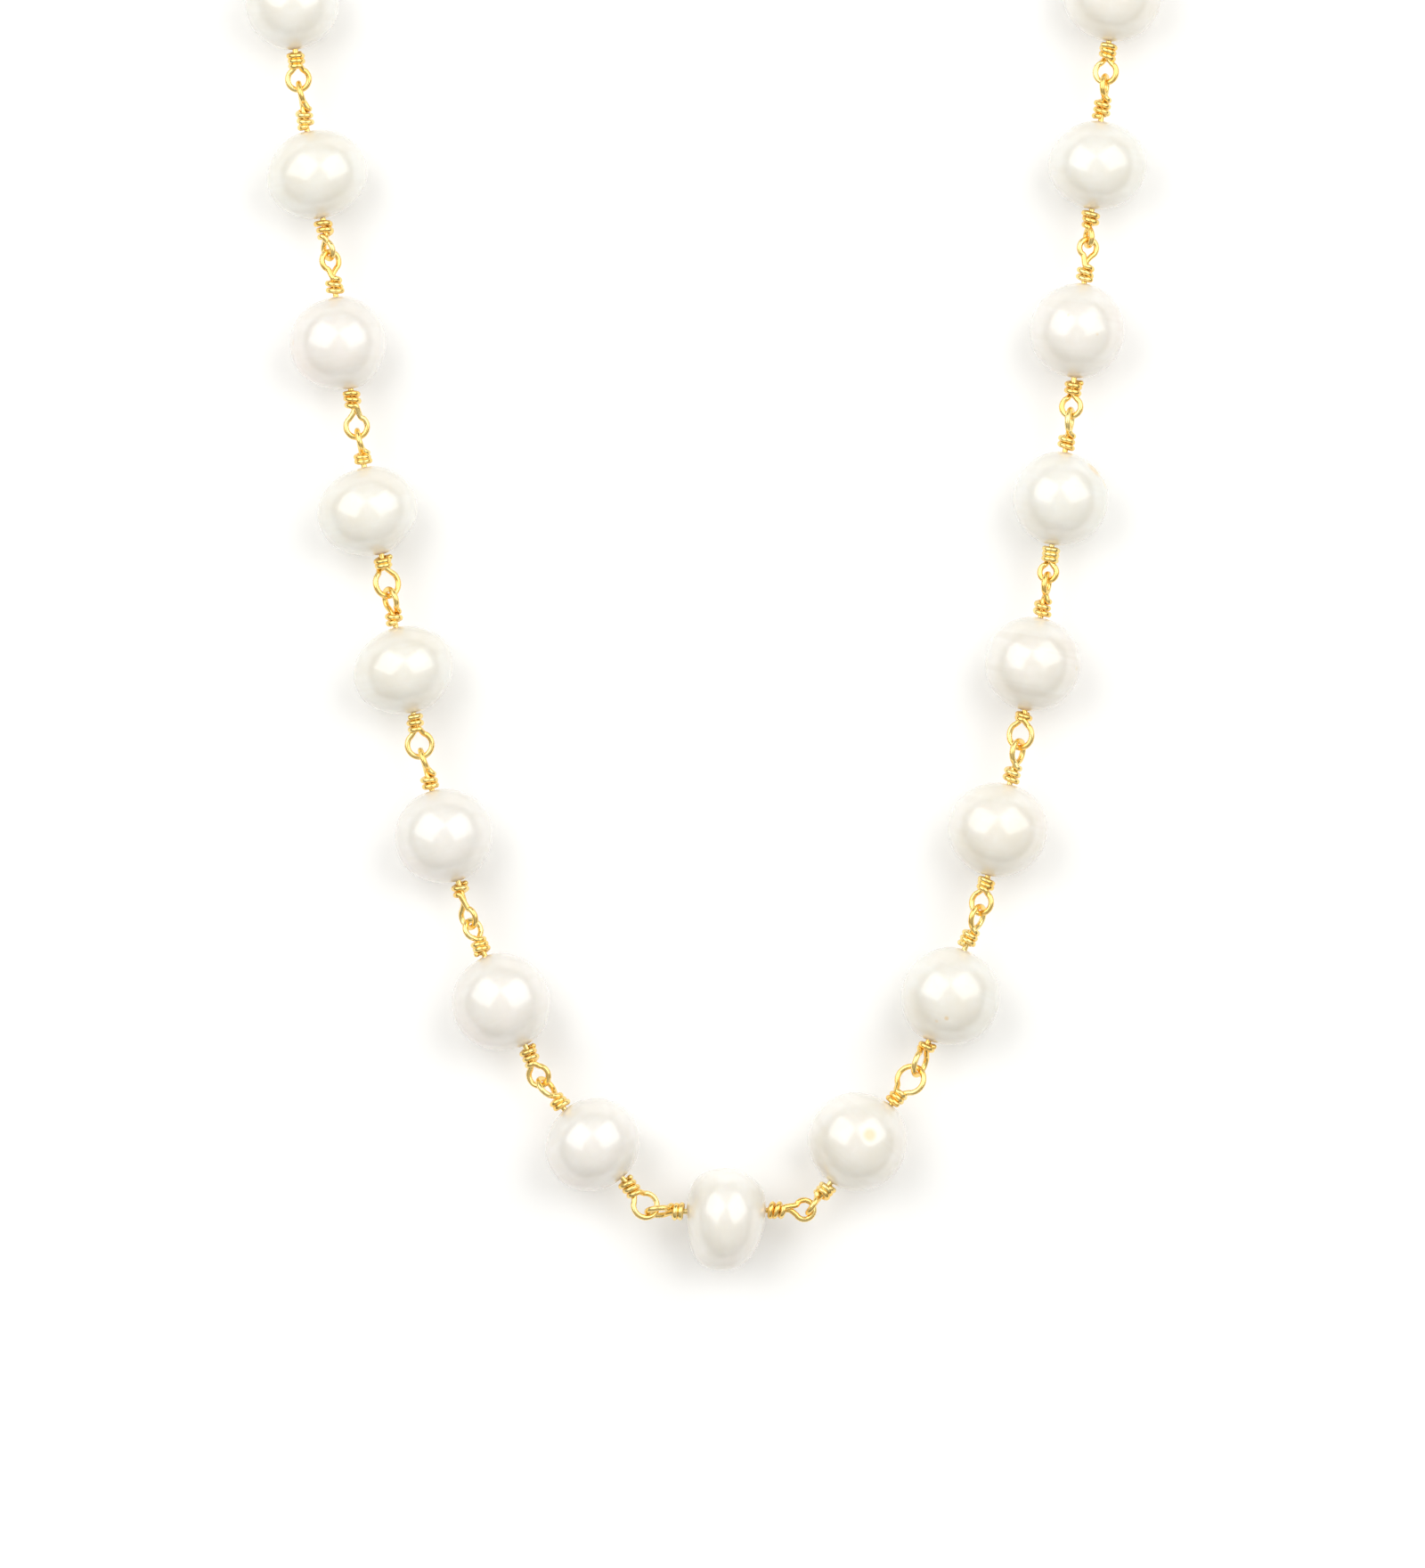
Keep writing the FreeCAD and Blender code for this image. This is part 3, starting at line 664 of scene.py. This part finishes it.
def make_floor(low):
    """The board that the necklace lies on, at that height."""
    size = FLOOR_HALF_SIZE
    points = [(-size, -size, low), (size, -size, low), (size, size, low), (-size, size, low)]
    floor = mesh_object("floor", points, [(0, 1, 2, 3)], floor_material())


def area_light(name, place, target, size, watts, colour=WHITE_LIGHT):
    """A rectangular lamp that faces its target."""
    light = bpy.data.lights.new(name, "AREA")
    light.shape = "RECTANGLE"
    light.size, light.size_y = size
    light.energy = watts
    light.color = colour
    lamp = bpy.data.objects.new(name, light)
    lamp.location = place
    lamp.rotation_euler = (Vector(target) - Vector(place)).to_track_quat("-Z", "Y").to_euler()
    bpy.context.scene.collection.objects.link(lamp)
    return lamp


def make_lights(middle):
    """Two big softboxes beyond the strand, a weak warm fill on its near side and dimmer surroundings."""
    x, y = middle.x, middle.y
    aside, beyond, up = SOFTBOX_PLACE
    for side, name in ((-1, "softbox_left"), (1, "softbox_right")):
        place = (x + side * aside, y + beyond, up)
        area_light(name, place, (x + side * SOFTBOX_AIM, y, 0), SOFTBOX_SIZE, SOFTBOX_WATTS)
    place = (x, y + FILL_PLACE[0], FILL_PLACE[1])
    fill = area_light("front_fill", place, (x, y, 0), FILL_SIZE, FILL_WATTS, WARM_LIGHT)
    fill.visible_glossy = False
    world = bpy.data.worlds.new("studio")
    world.use_nodes = True
    tree = world.node_tree
    towards = tree.nodes.new("ShaderNodeTexCoord").outputs["Generated"]
    split = tree.nodes.new("ShaderNodeSeparateXYZ")
    tree.links.new(towards, split.inputs["Vector"])
    colour = mix_colour(tree, ramp(tree, split.outputs["Z"], 0.0, 0.9), HORIZON, ZENITH)
    tree.links.new(colour, tree.nodes["Background"].inputs["Color"])
    tree.nodes["Background"].inputs["Strength"].default_value = 1.0
    bpy.context.scene.world = world
    bpy.context.scene.view_settings.view_transform = "Standard"


def make_camera(links):
    """Straight down on the lower part of the strand. Returns the middle of the view."""
    centre_link = links[CENTRE_LINK - 1]
    target = centre_link.centre + VIEW_OFFSET
    data = bpy.data.cameras.new("camera")
    data.sensor_fit = "VERTICAL"
    data.sensor_height = SENSOR_HEIGHT
    data.lens = SENSOR_HEIGHT * (CAMERA_HEIGHT - centre_link.centre.z) / (VIEW_WIDTH * VIEW_ASPECT)
    data.clip_end = 10
    camera = bpy.data.objects.new("camera", data)
    camera.location = (target.x, target.y, CAMERA_HEIGHT)
    bpy.context.scene.collection.objects.link(camera)
    bpy.context.scene.camera = camera
    return target


def corners(box):
    """A box's corners as plain lists."""
    return [[float(c) for c in corner] for corner in box]


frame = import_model()
cad_box = corners(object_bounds())
links = [Link(frame, number) for number in range(1, 28)]
wire_gold = gold_material("wire_gold", 0.17, 1100)
for link in links:
    make_pearl(link)
    make_wire(link, wire_gold)
repaint_clasp(frame)
make_floor(cad_box[0][2])
make_lights(make_camera(links))
